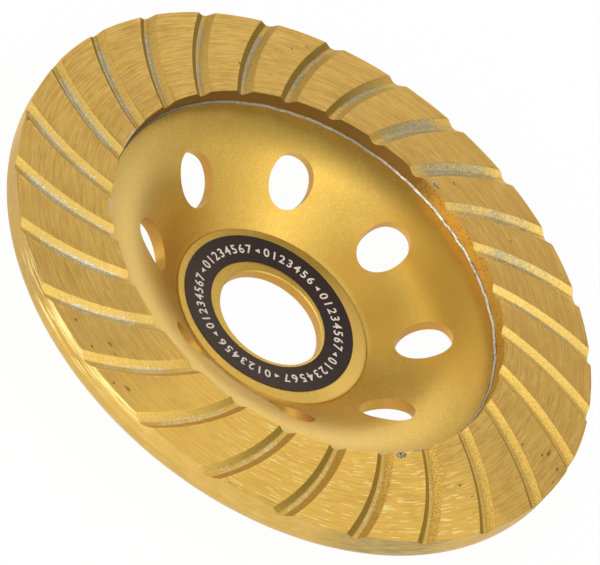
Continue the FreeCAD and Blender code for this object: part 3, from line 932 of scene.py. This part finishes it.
def layOnLabel(piece, azimuth):
    # Lays a flat mark on the sloping label, its top outwards and its foot just inside the film
    turn = math.radians(azimuth)
    x = label["centre"][0] + label["numberRadius"] * math.cos(turn)
    y = label["centre"][1] + label["numberRadius"] * math.sin(turn)
    rise = math.tan(math.radians(label["slope"]))
    z = label["edgeHeight"] - (label["outerEdge"] - math.hypot(x, y)) * rise
    piece.rotation_euler = (math.radians(label["slope"]), 0, turn - math.pi / 2)
    piece.location = (x * mm, y * mm, (z + label["lift"] * label["thickness"]) * mm)
    makeActive(piece)
    bpy.ops.object.transform_apply(location=True, rotation=True, scale=True)
    return piece


def numberMark(text, azimuth):
    deselectAll()
    bpy.ops.object.text_add()
    piece = bpy.context.object
    letters = piece.data
    letters.body = text
    letters.size = label["numberSize"] * mm
    letters.extrude = 0.5 * label["thickness"] * mm
    letters.offset = label["boldness"] * mm
    letters.resolution_u = label["curveSteps"]
    letters.align_x = "CENTER"
    letters.align_y = "CENTER"
    makeActive(piece)
    bpy.ops.object.convert(target="MESH")
    bpy.ops.object.mode_set(mode="EDIT")
    faceOutwards(label["weld"])
    bpy.ops.object.mode_set(mode="OBJECT")
    return layOnLabel(bpy.context.object, azimuth)


def pointerMark(azimuth):
    deselectAll()
    bpy.ops.mesh.primitive_circle_add(vertices=3, radius=mm, fill_type="NGON")
    piece = bpy.context.object
    size, deep = label["pointerLength"] * mm, label["thickness"] * mm
    for vertex, (x, y) in zip(piece.data.vertices, label["pointerShape"]):
        vertex.co = (x * size, y * size, -0.5 * deep)
    bpy.ops.object.mode_set(mode="EDIT")
    bpy.ops.mesh.select_all(action="SELECT")
    bpy.ops.mesh.extrude_region_move(TRANSFORM_OT_translate={"value": (0, 0, deep)})
    faceOutwards(label["weld"])
    bpy.ops.object.mode_set(mode="OBJECT")
    return layOnLabel(piece, azimuth)


def labelMarks():
    marks = []
    for first, last, count in label["sectors"]:
        marks.append(pointerMark(first))
        pitch = (first - last - 2 * label["pointerGap"]) / count
        for index in range(count):
            azimuth = first - label["pointerGap"] - (index + 0.5) * pitch
            marks.append(numberMark(str(index), azimuth))
    joined = joinAll(marks)
    joined.name = "labelMarks"
    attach(joined, "root")
    return joined


def labelMaterial():
    material, tree, shader = startMaterial("labelFilm")
    place, _, direction, _ = wheelCoordinates(tree)
    cloud = noise(tree, place, label["cloudGrain"], 2.0)
    clouds = calc(tree, "MULTIPLY", cloud, label["cloudShare"])
    # Painted sheen: the film is lighter towards the lit side, with random clouds
    sheenAndClouds = calc(tree, "ADD", towards(tree, direction, label["sheenSide"]), clouds)
    base = blend(tree, sheenAndClouds, label["dark"], label["pale"])
    tree.links.new(base, shader.inputs["Base Color"])
    shader.inputs["Roughness"].default_value = label["filmRoughness"]
    shader.inputs["Specular IOR Level"].default_value = label["filmSpecular"]
    return material


def marksMaterial():
    material, tree, shader = startMaterial("creamPrint")
    place = wheelCoordinates(tree)[0]
    worn = noise(tree, place, label["wearGrain"], 2.0)
    base = blend(tree, between(tree, worn, *label["wear"]), label["marks"], label["pale"])
    tree.links.new(base, shader.inputs["Base Color"])
    shader.inputs["Roughness"].default_value = label["printRoughness"]
    return material


dress(nodes["hub_label"], labelMaterial())
dress(labelMarks(), marksMaterial())
print("label and its marks finished")


# Floor, light and camera
studio = {
    "floorSize": 4000.0,
    "floorGap": 0.02,
    "floorColour": (0.9, 0.9, 0.9, 1),
    "floorGlow": 0.97,
    "worldStrength": 0.13,
    "lamps": [  # name, distance, azimuth, elevation, width, height, power
        ("keyLight", 800.0, 297.0, 22.0, 1250.0, 660.0, 9.0),
        ("sideLight", 800.0, 40.0, 24.0, 800.0, 500.0, 1.45),
        ("highLight", 800.0, 24.0, 58.0, 400.0, 400.0, 1.7),
        ("backLight", 800.0, 152.0, 26.0, 800.0, 400.0, 1.85),
        ("leftLight", 800.0, 222.0, 26.0, 400.0, 400.0, 0.78),
        ("rearLight", 800.0, 92.0, 40.0, 400.0, 400.0, 0.5),
        ("topLight", 800.0, 0.0, 85.0, 400.0, 400.0, 0.8),
    ],
}


def backgroundRay(tree):
    # One for what the camera, a reflection or a see-through surface looks at directly
    path = addNode(tree, "ShaderNodeLightPath")
    seen = calc(tree, "MAXIMUM", path.outputs["Is Camera Ray"], path.outputs["Is Glossy Ray"])
    return calc(tree, "MAXIMUM", seen, path.outputs["Is Transmission Ray"])


def paleFloor():
    deselectAll()
    below = -studio["floorGap"] * mm
    bpy.ops.mesh.primitive_plane_add(size=studio["floorSize"] * mm, location=(0, 0, below))
    floor = bpy.context.object
    floor.name = "floor"
    material = bpy.data.materials.new("paleFloor")
    material.use_nodes = True
    tree = material.node_tree
    tree.nodes.clear()
    matte = addNode(tree, "ShaderNodeBsdfDiffuse", [("Color", studio["floorColour"])])
    glow = addNode(tree, "ShaderNodeEmission", [("Color", (1, 1, 1, 1)), ("Strength", 1.0)])
    share = calc(tree, "MULTIPLY", backgroundRay(tree), studio["floorGlow"])
    mixed = addNode(tree, "ShaderNodeMixShader", [(0, share), (1, matte.outputs[0]), (2, glow.outputs[0])])
    addNode(tree, "ShaderNodeOutputMaterial", [("Surface", mixed.outputs[0])])
    dress(floor, material)


def softWorld():
    world = bpy.data.worlds.new("softWorld")
    bpy.context.scene.world = world
    world.use_nodes = True
    tree = world.node_tree
    tree.nodes.clear()
    sky = [("Color", (1, 1, 1, 1)), ("Strength", studio["worldStrength"])]
    back = addNode(tree, "ShaderNodeBackground", sky)
    addNode(tree, "ShaderNodeOutputWorld", [("Surface", back.outputs[0])])


def softLamp(name, distance, azimuth, elevation, width, height, power):
    # A rectangle of light that faces the wheel; its height runs up and down
    light = bpy.data.lights.new(name, "AREA")
    light.shape = "RECTANGLE"
    light.size = width * mm
    light.size_y = height * mm
    light.energy = power
    lamp = bpy.data.objects.new(name, light)
    bpy.context.collection.objects.link(lamp)
    around, up = math.radians(azimuth), math.radians(elevation)
    away = distance * mm
    lamp.location = (
        away * math.cos(up) * math.cos(around),
        away * math.cos(up) * math.sin(around),
        away * math.sin(up),
    )
    lamp.rotation_euler = lamp.location.normalized().to_track_quat("Z", "Y").to_euler()


view = {
    "place": (473.19, -364.73, 533.44),
    "turn": (41.688, -28.516, 80.564),
    "lens": 247.17,
    "sensor": 36,
}


def photoCamera():
    lens = bpy.data.cameras.new("photoCamera")
    lens.lens = view["lens"]
    lens.sensor_width = view["sensor"]
    camera = bpy.data.objects.new("photoCamera", lens)
    bpy.context.collection.objects.link(camera)
    camera.location = [value * mm for value in view["place"]]
    camera.rotation_euler = [math.radians(value) for value in view["turn"]]
    bpy.context.scene.camera = camera


paleFloor()
softWorld()
for lamp in studio["lamps"]:
    softLamp(*lamp)
photoCamera()
bpy.context.scene.view_settings.view_transform = "Standard"
print("floor, light and camera ready")
